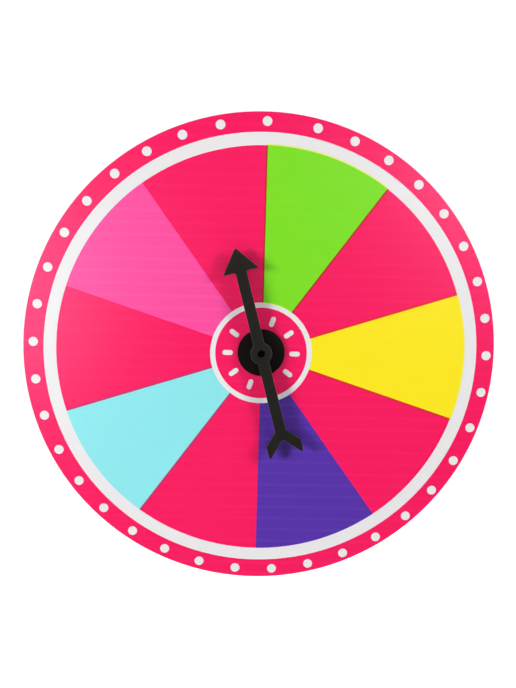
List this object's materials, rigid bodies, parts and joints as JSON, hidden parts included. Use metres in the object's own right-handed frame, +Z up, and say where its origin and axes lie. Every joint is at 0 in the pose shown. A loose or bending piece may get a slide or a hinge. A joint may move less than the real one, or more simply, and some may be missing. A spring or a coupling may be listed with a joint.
{
  "type": "prize spinner board",
  "caption": "Round printed board with coloured sectors and a balanced arrow that spins freely on a ball bearing at its centre, fixed through the board by a stem with a plug end.",
  "frame": {"origin": "on the spindle axis, at the shoulder behind the nut where the stem steps down to its plug end", "axes": "+Y along the spindle towards the back, so that the printed face looks along -Y; +Z up the board"},
  "size_m": [0.4, 0.0326, 0.4],
  "materials": {
    "sheet": "matte",
    "ink_crimson": "satin",
    "ink_white": "satin",
    "ink_green": "satin",
    "ink_yellow": "satin",
    "ink_violet": "satin",
    "ink_cyan": "satin",
    "ink_pink": "satin",
    "black_plastic": "matte",
    "grey_plastic": "matte",
    "zinc_steel": "satin",
    "bearing_steel": "polished",
    "black_screw": "satin"
  },
  "bodies": {
    "fixed_board": {"board": "sheet", "print_crimson": "ink_crimson", "print_white": "ink_white", "print_green": "ink_green", "print_yellow": "ink_yellow", "print_violet": "ink_violet", "print_cyan": "ink_cyan", "print_pink": "ink_pink", "spindle_base": "black_plastic", "back_washer": "zinc_steel", "back_nut": "zinc_steel", "bearing_inner_ring": "bearing_steel", "shim_washer": "zinc_steel", "pivot_screw": "black_screw"},
    "turning_arrow": {"arrow": "grey_plastic", "bearing_outer_ring": "bearing_steel", "bearing_balls": "bearing_steel", "bearing_cage": "bearing_steel", "bearing_shields": "bearing_steel"}
  },
  "joints": [
    {"name": "arrow_spin", "type": "hinge", "parent": "fixed_board", "child": "turning_arrow", "pos_m": [0, -0.0182, 0], "axis": [0, -1, 0], "continuous": true}
  ]
}
